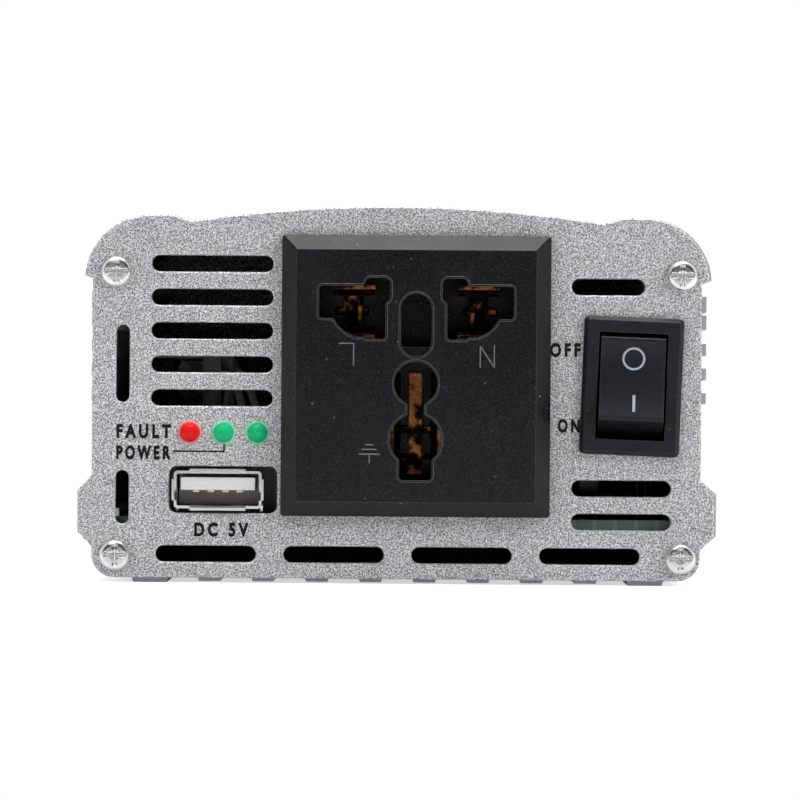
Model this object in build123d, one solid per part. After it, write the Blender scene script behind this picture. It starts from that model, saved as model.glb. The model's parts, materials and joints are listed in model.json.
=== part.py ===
from build123d import *
import os
from math import asin, cos, pi, radians, sin, sqrt, tan

# Power inverter: an extruded two-part case between two end plates. All sizes are in mm.
# X runs to the right as seen from the front, Y from front to rear, Z up from the resting fins.

# ---------------------------------------------------------------- driving dimensions
# Case
case_length = 150.0
plate_thickness = 1.2
wall = 1.9
side_wall_x = 45.5
seam_z = 41.0
seam_gap = 0.1
tray_base_z = 1.0
floor_thickness = 2.0

# Crowned roof: its corners reach past the side walls, and a dip parts them from the crown
shoulder_z = 55.3
shoulder_width = 3.1
crown_rise = 1.5
crown_drop = 2.37
dip_width = 3.0
corner_radius = 9.9
roof_overhang = 1.5
lip_rise = 0.6

# Side ribs and resting fins
rib_reach = 0.75
cover_ribs = [(41.2, 43.6)]
tray_ribs = [(38.6, 40.8), (34.7, 36.5), (31.0, 32.8), (27.4, 29.1)]
rail_reach = 2.4
rail_low_z = 5.3
rail_high_z = 16.0
rail_slope = 2.2
small_fin_pitch = 8.08
small_fin_count = 8
small_fin_root = 3.8
small_fin_tip = 3.2
small_fin_z = 0.25
big_fin_inset = 8.25
big_fin_root = 5.8
big_fin_tip = 5.0

# End plates
plate_shift_x = -0.3
plate_overhang = 0.3
plate_corner_radius = 3.4
plate_foot_z = 0.75
edge_break = 0.2

# Plate screws
screw_inset = 3.0
screw_low_z = 4.1
screw_rise = 1.3
screw_head_radius = 2.35
screw_head_height = 1.6
screw_shank_radius = 1.2
screw_length = 9.0
channel_radius = 3.0
clearance = 0.1

# Boards
board_thickness = 1.6
board_top_z = 9.8
board_gap = 0.35
board_end_gap = 2.0
ledge_depth = 1.6
ledge_thickness = 1.2

# Front ventilation slots: centre, width and height
slot_width = 2.45
left_slot_x = -28.1
left_slot_top_z = 48.0
left_slot_pitch = 5.05
left_slot_count = 5
left_slot_length = 18.3
upright_slots = [(-41.5, 32.9, 11.6), (-41.5, 12.8, 8.0)]
upright_slot_width = 2.0
foot_slot_z = 4.35
foot_slot_pitch = 19.24
foot_slot_length = 15.1
right_slots = [(31.4, 44.9, 11.0), (33.55, 14.6, 15.0), (33.55, 9.56, 15.0)]

# Mains socket
socket_x = 2.56
socket_z = 31.27
socket_base_width = 40.4
socket_base_height = 42.2
socket_bevel = 2.2
socket_proud = 4.5
socket_face_thickness = 2.5
socket_rim_width = 0.28
socket_rim_height = 0.12
socket_hole_corner = 0.55
socket_body_width = 35.6
socket_body_height = 37.2
socket_depth = 14.0
socket_wall = 1.8
socket_back_thickness = 2.0
contact_sheet = 0.6

# Rocker switch
switch_x = 35.0
switch_z = 30.0
switch_turn = 2.05
switch_bezel_width = 15.0
switch_bezel_height = 20.8
switch_bezel_thickness = 1.7
switch_body_width = 13.0
switch_body_height = 18.8
switch_opening_width = 10.4
switch_opening_height = 16.1
switch_body_depth = 13.0
rocker_width = 9.7
rocker_tilt = 10.5
rocker_pivot_depth = 5.0
rocker_middle_reach = 5.5
rocker_corner_reach = 6.6
rocker_corner_height = 6.3
rocker_root_height = 7.9
rocker_pin_radius = 1.0
pin_fit = 0.06
lever_share = 0.6

# USB outlet
usb_x = -27.1
usb_z = 14.0
usb_width = 13.2
usb_height = 5.65
usb_sheet = 0.4
usb_depth = 13.0
usb_proud = 0.5
usb_cutout_x = -26.3
usb_cutout_width = 16.2
usb_cutout_height = 7.0

# Indicator lights
led_radius = 1.5
led_z = 22.6
led_pitch = 5.08
led_middle_x = -26.3
led_proud = 1.6
indicator_board_depth = 16.0
lead_radius = 0.25

# Fan and rear grille
fan_x = 0.0
fan_z = 31.0
fan_side = 40.0
fan_depth = 10.0
fan_bore_radius = 19.0
fan_hole_spacing = 32.0
fan_hole_radius = 1.75
fan_blade_count = 7
fan_blade_tilt = 38.0
fan_shaft_radius = 1.0
fan_hub_radius = 9.5
fan_plate_thickness = 1.8
grille_ring_width = 2.4
grille_spoke = 2.4

# Battery posts
post_xs = {"red": -33.0, "black": 33.0}
post_z = 31.0
stud_radius = 3.0
stud_outside = 19.0
stud_inside = 14.0
knob_radius = 7.5
washer_radius = 6.0
washer_thickness = 1.2
post_base_radius = 8.0
post_base_thickness = 3.0
post_hole_radius = 5.0

# Power parts on the main board, as depths behind the front plate
heat_sink_height = 27.0
heat_sink_plate = 3.0
heat_sink_inset = 13.6
heat_sink_fins = 6
heat_sink_reach = 9.0
left_sink_depths = (60.0, 122.0)
right_sink_depths = (40.0, 102.0)
device_count = 4
device_pitch = 15.0
transformer_depths = (68.0, 101.0)
transformer_width = 36.0
transformer_height = 32.0
transformer_core_depth = 12.0

# ---------------------------------------------------------------- places that follow from them
overall_length = socket_proud + case_length + 2 * plate_thickness + stud_outside
front_y = -overall_length / 2 + socket_proud + plate_thickness
rear_y = front_y + case_length
plate_front_y = front_y - plate_thickness
plate_rear_y = rear_y + plate_thickness
inner_x = side_wall_x - wall
corner_x = side_wall_x + roof_overhang - corner_radius
corner_z = shoulder_z - corner_radius
lip_z = corner_z + lip_rise
crown_z = shoulder_z + crown_rise
crown_half_width = corner_x - shoulder_width - dip_width
crown_radius = (crown_half_width ** 2 + crown_drop ** 2) / (2 * crown_drop)
rail_x = side_wall_x + rail_reach
big_fin_x = side_wall_x - big_fin_inset
plate_half_width = side_wall_x + plate_overhang
screw_x = side_wall_x - screw_inset
screw_high_z = corner_z + screw_rise
heat_sink_x = inner_x - heat_sink_inset
board_bottom_z = board_top_z - board_thickness
floor_z = tray_base_z + floor_thickness


# ---------------------------------------------------------------- helpers
def prism(outline, near_y, far_y):
    """A solid from an outline drawn in X and Z, filling the depths near_y to far_y."""
    return Plane.XZ * Pos(0, 0, -far_y) * extrude(outline, amount=far_y - near_y)


def side_prism(outline, low_x, high_x):
    """A solid from an outline drawn in Y and Z, filling the widths low_x to high_x."""
    return Plane.YZ * Pos(0, 0, low_x) * extrude(outline, amount=high_x - low_x)


def column(outline, low_z, high_z):
    """A solid from an outline drawn in X and Y, filling the heights low_z to high_z."""
    return Pos(0, 0, low_z) * extrude(outline, amount=high_z - low_z)


def block(low, high):
    """A box between its lowest and its highest corner."""
    size = [b - a for a, b in zip(low, high)]
    middle = [(a + b) / 2 for a, b in zip(low, high)]
    return Pos(*middle) * Box(*size)


def polygon(points):
    """A face from its corners, in order."""
    return make_face(Polyline(*points, close=True))


def rectangle(low_x, low_y, high_x, high_y):
    """A rectangular face between two corners."""
    return Pos((low_x + high_x) / 2, (low_y + high_y) / 2) * Rectangle(high_x - low_x, high_y - low_y)


def joined(shapes):
    """One shape from several that touch."""
    whole = shapes[0]
    for shape in shapes[1:]:
        whole = whole + shape
    return whole


def both_sides(shape):
    """A shape on the right together with its mirror image on the left."""
    return shape + mirror(shape, about=Plane.YZ)


def mirrored_for(side, shape):
    """The shape as drawn on the right side (1), or its mirror image on the left side (-1)."""
    return shape if side == 1 else mirror(shape, about=Plane.YZ)


def rounded_cap(outline, low_z, high_z, radius):
    """A column whose top edges are rounded."""
    solid = column(outline, low_z, high_z)
    return fillet(solid.edges().group_by(Axis.Z)[-1], radius)


def wire_tube(points, radius):
    """A round wire along straight runs, with each bend as large as its two runs allow."""
    corners = [Vector(*point) for point in points]
    bends = []
    for before, corner, after in zip(corners, corners[1:], corners[2:]):
        half_turn = radians((corner - before).get_angle(after - corner) / 2)
        run = min((corner - before).length, (after - corner).length)
        bends.append(0.45 * run / tan(half_turn))
    path = FilletPolyline(*points, radius=bends)
    tube = sweep(Plane(origin=path @ 0, z_dir=path % 0) * Circle(radius), path=path)
    print("wire of", round(path.length, 1), "bends", [round(bend, 1) for bend in bends],
          "volume share", round(tube.volume / (pi * radius ** 2 * path.length), 3))
    return tube


def write(name, shapes):
    """Write one node, as one solid or as a group of separate solids."""
    group = shapes if isinstance(shapes, list) else [shapes]
    solids = [solid for shape in group for solid in shape.solids()]
    body = solids[0] if len(solids) == 1 else Compound(children=solids)
    body.label = name
    export_step(body, f"parts/{name}.step")


def pan_head_screw(head_radius, head_height, shank_radius, length):
    """A cross-recess pan head screw, head up, with the underside of its head at Z = 0."""
    head = rounded_cap(Circle(head_radius), 0, head_height, head_height * 0.6)
    shank = column(Circle(shank_radius), -length, 0)
    arm = Box(head_radius * 1.15, 0.6, head_height * 1.1)
    recess = Pos(0, 0, head_height) * (arm + Rot(0, 0, 90) * arm)
    return head + shank - recess


# ---------------------------------------------------------------- case
def roof_half(inset):
    """The right half of the crowned roof line, from the middle to the lip, moved in by inset."""
    radius = crown_radius - inset
    crown_centre_z = crown_z - crown_radius
    dip_z = crown_centre_z + sqrt(radius ** 2 - crown_half_width ** 2)
    half_angle = asin(crown_half_width / 2 / radius)
    middle = (radius * sin(half_angle), crown_centre_z + radius * cos(half_angle))
    bend = corner_radius - inset
    lip_x = corner_x + sqrt(bend ** 2 - (lip_z - corner_z) ** 2)
    high = shoulder_z - inset
    corner_mid = (corner_x + bend * cos(pi / 4), corner_z + bend * sin(pi / 4))
    return [
        ThreePointArc((0, crown_z - inset), middle, (crown_half_width, dip_z)),
        Line((crown_half_width, dip_z), (crown_half_width + dip_width, high)),
        Line((crown_half_width + dip_width, high), (corner_x, high)),
        ThreePointArc((corner_x, high), corner_mid, (lip_x, lip_z)),
    ]


def under_roof(inset, wall_x, low_z):
    """The full face below the roof line, straight down at wall_x to low_z."""
    edges = roof_half(inset)
    end = edges[-1] @ 1
    tail = Polyline((end.X, end.Y), (wall_x, lip_z), (wall_x, low_z), (0, low_z), (0, crown_z - inset))
    return both_sides(make_face(edges + [tail]))


def screw_points():
    """The four places of the plate screws, in X and Z."""
    return [(side * screw_x, z) for side in (-1, 1) for z in (screw_low_z, screw_high_z)]


def top_cover():
    low_z = seam_z + seam_gap / 2
    shell = under_roof(0, side_wall_x, low_z) - under_roof(wall, inner_x, low_z - wall)
    for rib_low, rib_high in cover_ribs:
        shell += both_sides(rectangle(inner_x + wall / 2, rib_low, side_wall_x + rib_reach, rib_high))
    for x, z in screw_points():
        if z > seam_z:
            shell += Pos(x, z) * Circle(channel_radius)
            shell -= Pos(x, z) * Circle(screw_shank_radius + clearance / 2)
    return prism(shell, front_y, rear_y)


def tray_outline():
    """The tray's section: floor, walls, side rails, ribs, resting fins and board ledges."""
    top_z = seam_z - seam_gap / 2
    outer = both_sides(rectangle(0, tray_base_z, side_wall_x, top_z))
    corner = rectangle(screw_x, tray_base_z, side_wall_x, screw_low_z)
    section = outer - both_sides(corner)
    section -= both_sides(rectangle(0, floor_z, inner_x, top_z))
    rail = polygon([
        (inner_x, rail_high_z), (side_wall_x, rail_high_z), (rail_x, rail_high_z - rail_slope),
        (rail_x, rail_low_z + rail_slope), (side_wall_x, rail_low_z), (inner_x, rail_low_z)])
    section += both_sides(rail)
    for rib_low, rib_high in tray_ribs:
        section += both_sides(rectangle(inner_x + wall / 2, rib_low, side_wall_x + rib_reach, rib_high))
    for number in range(small_fin_count // 2):
        x = small_fin_pitch * (number + 0.5)
        section += both_sides(fin(x, small_fin_root, small_fin_tip, small_fin_z))
    section += both_sides(fin(big_fin_x, big_fin_root, big_fin_tip, 0))
    for low_z in (board_bottom_z - clearance - ledge_thickness, board_top_z + clearance):
        section += both_sides(rectangle(inner_x - ledge_depth, low_z, inner_x + wall / 2, low_z + ledge_thickness))
    inner_lip = rectangle(inner_x - clearance - ledge_thickness, seam_z - 3, inner_x - clearance, seam_z + 2.5)
    foot = rectangle(inner_x - clearance - ledge_thickness, seam_z - 3, inner_x + wall / 2, seam_z - 1)
    return section + both_sides(inner_lip) + both_sides(foot)


def fin(x, root, tip, tip_z):
    """One resting fin under the floor."""
    top_z = tray_base_z + floor_thickness / 2
    return polygon([
        (x - root / 2, top_z), (x - root / 2, tray_base_z), (x - tip / 2, tip_z),
        (x + tip / 2, tip_z), (x + root / 2, tray_base_z), (x + root / 2, top_z)])


def bottom_tray():
    section = tray_outline()
    for x, z in screw_points():
        if z < seam_z:
            section += Pos(x, z) * Circle(channel_radius)
            section -= Pos(x, z) * Circle(screw_shank_radius + clearance / 2)
    return prism(section, front_y, rear_y)


def plate_outline():
    """The end plates' outline: crowned top, straight sides, side flanges, rounded feet."""
    section = under_roof(0, plate_half_width, rail_high_z - rail_slope)
    foot = Pos(0, (plate_foot_z + rail_high_z) / 2) * RectangleRounded(
        2 * plate_half_width, rail_high_z - plate_foot_z, plate_corner_radius)
    flange = polygon([
        (0, rail_high_z), (plate_half_width, rail_high_z), (rail_x, rail_high_z - rail_slope),
        (rail_x, rail_low_z + rail_slope), (plate_half_width, rail_low_z), (0, rail_low_z)])
    return section + foot + both_sides(flange)


def end_plate_blank():
    """An end plate with its four screw holes, before its own openings are cut."""
    outline = Pos(plate_shift_x, 0) * plate_outline()
    for x, z in screw_points():
        outline -= Pos(x, z) * Circle(screw_shank_radius + 3 * clearance)
    return outline


def slot(x, z, length, width):
    """A round-ended slot lying along X."""
    return Pos(x, z) * SlotOverall(length, width)


def front_plate():
    outline = end_plate_blank()
    for number in range(left_slot_count):
        z = left_slot_top_z - number * left_slot_pitch
        outline -= slot(left_slot_x, z, left_slot_length, slot_width)
    for x, z, length in right_slots:
        outline -= slot(x, z, length, slot_width)
    for number in range(4):
        outline -= slot((number - 1.5) * foot_slot_pitch, foot_slot_z, foot_slot_length, slot_width)
    for x, z, length in upright_slots:
        outline -= Pos(x, z) * Rot(0, 0, 90) * SlotOverall(length, upright_slot_width)
    outline -= Pos(usb_cutout_x, usb_z) * RectangleRounded(usb_cutout_width, usb_cutout_height, 1.1)
    outline -= Pos(socket_x, socket_z) * Rectangle(
        socket_body_width + 2 * clearance, socket_body_height + 2 * clearance)
    outline -= Pos(switch_x, switch_z) * Rot(0, 0, -switch_turn) * Rectangle(
        switch_body_width + 2 * clearance, switch_body_height + 2 * clearance)
    for number in (-1, 0, 1):
        outline -= Pos(led_middle_x + number * led_pitch, led_z) * Circle(led_radius + clearance)
    return softened_face(prism(outline, plate_front_y, front_y), 0)


def softened_face(plate, number):
    """A plate whose outward face, first (0) or last (-1) along Y, has all its edges broken."""
    face = plate.faces().sort_by(Axis.Y)[number]
    return chamfer(face.edges(), edge_break)


def grille():
    """The fan's grille: ring slots parted by four diagonal spokes."""
    rings = None
    pitch = grille_ring_width + 1.4
    count = 4
    for number in range(count):
        middle = fan_bore_radius - grille_ring_width / 2 - number * pitch
        ring = Circle(middle + grille_ring_width / 2) - Circle(middle - grille_ring_width / 2)
        rings = ring if rings is None else rings + ring
    for angle in (45, 135):
        rings -= Rot(0, 0, angle) * Rectangle(2 * fan_bore_radius + 2, grille_spoke)
    return rings


def fan_holes():
    """The four fan screw places, in X and Z."""
    reach = fan_hole_spacing / 2
    return [(fan_x + i * reach, fan_z + j * reach) for i in (-1, 1) for j in (-1, 1)]


def rear_plate():
    outline = end_plate_blank()
    outline -= Pos(fan_x, fan_z) * grille()
    for x, z in fan_holes():
        outline -= Pos(x, z) * Circle(fan_hole_radius)
    for x in post_xs.values():
        outline -= Pos(x, post_z) * Circle(post_hole_radius)
    return softened_face(prism(outline, rear_y, plate_rear_y), -1)


def plate_screws():
    """The eight screws that hold the two end plates."""
    screw = pan_head_screw(screw_head_radius, screw_head_height, screw_shank_radius, screw_length)
    front = [Pos(x, plate_front_y, z) * Rot(90, 0, 0) * screw for x, z in screw_points()]
    rear = [Pos(x, plate_rear_y, z) * Rot(-90, 0, 0) * screw for x, z in screw_points()]
    return front + rear


# ---------------------------------------------------------------- mains socket
def live_hole():
    """The left pin opening, about the middle of the socket's face."""
    flag = rectangle(-14.6, 8.6, -6.0, 13.5)
    notch = Pos(-5.8, 12.85) * RectangleRounded(3.8, 3.7, 0.9)
    stem = rectangle(-7.7, 5.5, -4.6, 12.0)
    bowl = (Pos(-7.6, 10.9) * Circle(5.3)) & rectangle(-14.0, 5.8, -5.0, 12.0)
    return flag + notch + stem + bowl


def earth_hole():
    """The keyhole for the earth pin, about the middle of the socket's face."""
    upper = Pos(0, -1.07) * Circle(3.27)
    lower = Pos(0, -9.5) * Circle(3.86)
    neck = rectangle(-1.26, -6.5, 1.26, -3.8)
    foot = Pos(0, -13.4) * RectangleRounded(4.9, 4.4, 0.7)
    shank = rectangle(-2.45, -14.5, 2.45, -11.0)
    return upper + lower + neck + foot + shank


def socket_holes():
    """The four openings of the face, each a separate outline."""
    live = round_corners(live_hole(), socket_hole_corner)
    centre = Pos(0, 7.65) * Rot(0, 0, 90) * SlotOverall(9.5, 4.66)
    return [live, mirror(live, about=Plane.YZ), centre, round_corners(earth_hole(), socket_hole_corner)]


def round_corners(face, radius):
    """The face with its outward and inward corners rounded."""
    outward = offset(offset(face, -radius), radius)
    return offset(offset(outward, radius), -radius)


def in_socket(shape):
    """Move a face drawn about the socket's middle to the socket's place."""
    return Pos(socket_x, socket_z) * shape


def socket_body():
    face_y = plate_front_y - socket_proud
    base = RectangleRounded(socket_base_width, socket_base_height, 0.5)
    front = RectangleRounded(socket_base_width - 2 * socket_bevel, socket_base_height - 2 * socket_bevel, 0.3)
    bevel = loft([base, Pos(0, 0, socket_bevel) * front])
    frame = extrude(base, socket_proud - socket_bevel) + Pos(0, 0, socket_proud - socket_bevel) * bevel
    bezel = Pos(socket_x, plate_front_y, socket_z) * Rot(90, 0, 0) * frame
    rear = prism(in_socket(Rectangle(socket_body_width, socket_body_height)),
                 plate_front_y - 1, front_y + socket_depth)
    cavity_width = socket_body_width - 2 * socket_wall
    cavity_height = socket_body_height - 2 * socket_wall
    cavity = prism(in_socket(Rectangle(cavity_width, cavity_height)),
                   face_y + socket_face_thickness, front_y + socket_depth)
    deck = rectangle(-cavity_width / 2 - 0.5, 3.2, cavity_width / 2 + 0.5, 4.4)
    partings = [deck, rectangle(-3.6, 4.0, -2.7, cavity_height / 2 + 0.5),
                rectangle(2.7, 4.0, 3.6, cavity_height / 2 + 0.5)]
    ribs = prism(in_socket(joined(partings)), face_y + socket_face_thickness - 0.5,
                 front_y + socket_depth)
    body = joined([bezel, rear]) - cavity + ribs
    for hole in socket_holes():
        body += prism(in_socket(offset(hole, socket_rim_width)), face_y - socket_rim_height, face_y + 0.5)
        body -= prism(in_socket(hole), face_y - 1, face_y + socket_face_thickness)
    latch_outline = polygon([(0, 0.15), (1.2, 0.15), (0, 5.0)])
    latches = []
    for side in (-1, 1):
        wedge = Rot(0, 0, 0) * column(latch_outline, -5, 5)
        wedge = wedge if side == 1 else mirror(wedge, about=Plane.YZ)
        latches.append(Pos(socket_x + side * socket_body_width / 2, front_y, socket_z) * wedge)
    return body + latches[0] + latches[1]


def pin_contact(side):
    """A sprung clip behind one pin opening: two lips, a bowed cheek and a tab out of the back."""
    near_y = plate_front_y - socket_proud + socket_face_thickness + 2.0
    back_y = front_y + socket_depth - 1.2
    inner, outer = sorted((side * 6.2, side * 12.6))
    lips = []
    for z, bend in ((6.3, 0.7), (12.4, -0.7)):
        lip = polygon([
            (near_y, z - bend), (near_y + 3, z + bend * 0.4), (back_y, z),
            (back_y, z + contact_sheet), (near_y + 3, z + bend * 0.4 + contact_sheet),
            (near_y, z - bend + contact_sheet)])
        lips.append(Pos(socket_x, 0, socket_z) * side_prism(lip, inner, outer))
    web = sorted((side * 8.0, side * 11.0))
    plate = prism(in_socket(rectangle(web[0], 6.3, web[1], 12.4 + contact_sheet)), back_y - contact_sheet, back_y)
    cheek_x = side * 8.2
    cheek_low, cheek_high = sorted((cheek_x, cheek_x + side * contact_sheet))
    cheek = prism(in_socket(rectangle(cheek_low, 7.4, cheek_high, 10.6)), near_y + 3.5, back_y)
    tab = prism(in_socket(rectangle(side * 9.8 - 2.4, 9.6, side * 9.8 + 2.4, 10.4)),
                back_y - 0.3, front_y + socket_depth + 9)
    return joined([plate, lips[0], lips[1], cheek, tab])


def earth_contact():
    """Two bowed leaves either side of the earth keyhole, joined at the back."""
    near_y = plate_front_y - socket_proud + socket_face_thickness + 1.5
    back_y = front_y + socket_depth - 1.2
    leaves = []
    for side in (-1, 1):
        leaf = polygon([
            (side * 3.3, near_y), (side * 2.25, near_y + 4), (side * 3.0, back_y),
            (side * (3.0 + contact_sheet), back_y), (side * (2.25 + contact_sheet), near_y + 4),
            (side * (3.3 + contact_sheet), near_y)])
        leaves.append(Pos(socket_x, 0, socket_z) * column(leaf, -12.6, 0.6))
    web = rectangle(-3.6, -12.6, 3.6, -11.8) + rectangle(-2.6, -14.9, 1.0, -11.8) + rectangle(-1.0, -11.8, 1.0, 0.6)
    plate = prism(in_socket(web), back_y - contact_sheet, back_y)
    tab = prism(in_socket(rectangle(-2.4, -8.4, 2.4, -7.6)), back_y - 0.3, front_y + socket_depth + 9)
    return joined([plate, leaves[0], leaves[1], tab])


def socket_back():
    near_y = front_y + socket_depth
    outline = Rectangle(socket_body_width, socket_body_height)
    for x, z in ((-9.8, 10.0), (9.8, 10.0), (0, -8.0)):
        outline -= Pos(x, z) * Rectangle(5.2, 1.2)
    return prism(in_socket(outline), near_y, near_y + socket_back_thickness)


# ---------------------------------------------------------------- rocker switch
switch_place = Pos(switch_x, plate_front_y, switch_z) * Rot(0, switch_turn, 0)
pivot_y = -switch_bezel_thickness + rocker_pivot_depth


def rocker_outline():
    """The rocker's side, about its pivot and level: first value forward, second value up."""
    reach, corner, root = rocker_corner_reach, rocker_corner_height, rocker_root_height
    sides = Polyline((reach, corner), (0, root), (-1.0, root - 0.2), (-1.0, 0.2 - root), (0, -root), (reach, -corner))
    return make_face([ThreePointArc((reach, -corner), (rocker_middle_reach, 0), (reach, corner)), sides])


def forward_prism(outline, width):
    """A solid across X from an outline drawn forward and up."""
    turned = mirror(outline, about=Plane.YZ)
    return side_prism(turned, -width / 2, width / 2)


def placed_in_switch(shape, tilt):
    """Tilt a shape about the switch's pivot line and put it in the switch."""
    return switch_place * Pos(0, pivot_y, 0) * Rot(tilt, 0, 0) * shape


def switch_rocker():
    body = forward_prism(rocker_outline(), rocker_width)
    ridge = body.edges().filter_by(GeomType.LINE).filter_by(Axis.X).sort_by(Axis.Y)[:2]
    body = fillet(ridge, 0.5)
    stem = forward_prism(rectangle(-2.5, -2.3, 0, 2.3), 5.0)
    pins = side_prism(Circle(rocker_pin_radius), -switch_opening_width / 2 - 0.9, switch_opening_width / 2 + 0.9)
    bore = prism(Circle(1.3), -1.5, 3.3)
    return placed_in_switch(body + stem + pins - bore, -rocker_tilt)


def switch_plunger():
    tip = prism(Circle(1.2), 1.9, 5.2) + Pos(0, 4.74, 0) * Sphere(1.2)
    return placed_in_switch(tip & prism(Circle(1.2), 1.9, 5.94), -rocker_tilt)


def switch_spring():
    """A small helical spring between the rocker's bore and its plunger."""
    turns = Helix(pitch=0.85, height=2.55, radius=0.85)
    coil = sweep(Plane(origin=turns @ 0, z_dir=turns % 0) * Circle(0.18), path=turns)
    return placed_in_switch(Pos(0, -1.1, 0) * Rot(-90, 0, 0) * coil, -rocker_tilt)


def switch_housing():
    bezel = RectangleRounded(switch_bezel_width, switch_bezel_height, 0.8)
    frame = prism(bezel, -switch_bezel_thickness, 0)
    frame = chamfer(frame.faces().sort_by(Axis.Y)[0].outer_wire().edges(), 0.6)
    body = prism(Rectangle(switch_body_width, switch_body_height), -0.5, switch_body_depth)
    inside = prism(Rectangle(switch_opening_width, switch_opening_height),
                   -switch_bezel_thickness - 1, switch_body_depth - 1.4)
    pin_hole = Pos(0, pivot_y, 0) * side_prism(
        Circle(rocker_pin_radius + pin_fit), -switch_opening_width / 2 - 1, switch_opening_width / 2 + 1)
    slots = prism(Pos(0, 0) * Rectangle(5.0, 1.0) + Pos(0, 5.5) * Rectangle(5.0, 1.0),
                  switch_body_depth - 2, switch_body_depth + 1)
    latch = polygon([(switch_body_height / 2 - 0.2, 2.0), (switch_body_height / 2 + 0.8, 2.0),
                     (switch_body_height / 2 - 0.2, 6.0)])
    wedge = Rot(0, 0, 0) * side_prism(mirror(Rot(0, 0, 90) * latch, about=Plane.YZ), -3, 3)
    wedges = wedge + mirror(wedge, about=Plane.XY)
    return switch_place * (frame + body - inside - pin_hole - slots + wedges)


lever_pivot = 7.2


def switch_contact_lever():
    """The tilting contact, a shallow V that pivots on the middle terminal."""
    slope = tan(radians(10.0))
    arm = polygon([
        (0.5, 0), (0.5 + 6.0 * slope, 6.0), (1.0 + 6.0 * slope, 6.0), (1.0, 0),
        (1.0 + 6.0 * slope, -6.0), (0.5 + 6.0 * slope, -6.0)])
    lever = forward_prism(arm, 4.4)
    shaft = side_prism(Circle(0.4), -2.2, 2.2)
    yoke = side_prism(rectangle(-0.8, -0.4, 0, 0.4), -2.2, -1.6) + side_prism(
        rectangle(-0.8, -0.4, 0, 0.4), 1.6, 2.2)
    return switch_place * Pos(0, pivot_y + lever_pivot, 0) * Rot(rocker_tilt * lever_share, 0, 0) * (
        lever + yoke + shaft)


def switch_terminals():
    """The middle terminal, which carries the lever, and the upper one, which it meets."""
    floor_y = switch_body_depth - 1.4
    out_y = switch_body_depth + 7.5
    lever_y = pivot_y + lever_pivot
    blade = prism(Rectangle(4.7, 0.8), floor_y - 0.3, out_y)
    cradle = prism(Rectangle(2.6, 1.6), lever_y + 0.5, floor_y - 0.2)
    middle = blade + cradle
    upper = prism(Pos(0, 5.5) * Rectangle(4.7, 0.8), lever_y - 0.7, out_y)
    return [switch_place * middle, switch_place * upper]


# ---------------------------------------------------------------- USB outlet
usb_front_y = plate_front_y - usb_proud
usb_rear_y = usb_front_y + usb_depth


def at_usb(outline):
    return Pos(usb_x, usb_z) * outline


def usb_shell():
    """A folded sheet sleeve with flared lips and legs down to the main board."""
    outer = RectangleRounded(usb_width, usb_height, 0.6)
    inner = RectangleRounded(usb_width - 2 * usb_sheet, usb_height - 2 * usb_sheet, 0.3)
    sleeve = prism(at_usb(outer - inner), usb_front_y, usb_rear_y)
    half_width, half_height = usb_width / 2, usb_height / 2
    lip = polygon([(0, half_height - usb_sheet), (0, half_height + 0.15), (-0.5, half_height + 0.3),
                   (-0.5, half_height - 0.1)])
    lips = []
    for turn, reach, width in ((0, 0, 8.4), (180, 0, 8.4)):
        strip = side_prism(lip, -width / 2, width / 2)
        lips.append(Pos(usb_x, usb_front_y, usb_z) * Rot(0, turn, 0) * strip)
    side_lip = Pos(0, 0, half_width - half_height) * side_prism(lip, -1.6, 1.6)
    for turn in (90, 270):
        lips.append(Pos(usb_x, usb_front_y, usb_z) * Rot(0, turn, 0) * side_lip)
    windows = []
    for x in (-3.3, 3.3):
        windows.append(block((usb_x + x - 1.0, usb_front_y + 3.5, usb_z - half_height - 1),
                             (usb_x + x + 1.0, usb_front_y + 7.5, usb_z - half_height + 1)))
    legs = []
    for side in (-1, 1):
        x = usb_x + side * (half_width - usb_sheet / 2)
        legs.append(block((x - usb_sheet / 2, usb_rear_y - 4, board_top_z),
                          (x + usb_sheet / 2, usb_rear_y - 2, usb_z)))
    return joined([sleeve] + lips + legs) - windows[0] - windows[1]


def usb_tongue():
    """The insulator: a tongue in the upper half of the sleeve and a block that closes its rear."""
    inner_width = usb_width - 2 * usb_sheet - 2 * clearance
    inner_height = usb_height - 2 * usb_sheet - 2 * clearance
    rear = prism(at_usb(Rectangle(inner_width, inner_height)), usb_rear_y - 4.5, usb_rear_y)
    tongue = prism(at_usb(Pos(0, 0.9) * Rectangle(11.2, 1.9)), usb_front_y + 0.6, usb_rear_y - 4)
    foot = block((usb_x - 4.5, usb_rear_y, board_top_z),
                 (usb_x + 4.5, usb_rear_y + 1.0, usb_z + inner_height / 2))
    return rear + tongue + foot


def usb_contacts():
    """Four flat springs under the tongue."""
    strips = []
    under_z = usb_z + 0.9 - 0.95
    for number, reach in zip((-1.5, -0.5, 0.5, 1.5), (0, 1.0, 1.0, 0)):
        x = usb_x + number * 2.2
        strips.append(block((x - 0.5, usb_front_y + 1.4 + reach, under_z - 0.35),
                            (x + 0.5, usb_rear_y - 4.6, under_z)))
    return strips


# ---------------------------------------------------------------- indicator lights
def led(number):
    """A round lamp with a domed front, a flange and two leads' worth of depth."""
    x = led_middle_x + number * led_pitch
    dome_y = plate_front_y - led_proud + led_radius
    barrel = prism(Pos(x, led_z) * Circle(led_radius), dome_y, front_y + 1.6)
    dome = Pos(x, dome_y, led_z) * Sphere(led_radius)
    flange = prism(Pos(x, led_z) * Circle(led_radius + 0.35), front_y + 0.6, front_y + 1.6)
    return barrel + dome + flange


def led_leads():
    far_y = front_y + indicator_board_depth
    leads = []
    for number in (-1, 0, 1):
        for side in (-1, 1):
            x = led_middle_x + number * led_pitch + side * 1.27
            leads.append(prism(Pos(x, led_z) * Circle(lead_radius), front_y + 1.6, far_y))
    return leads


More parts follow.
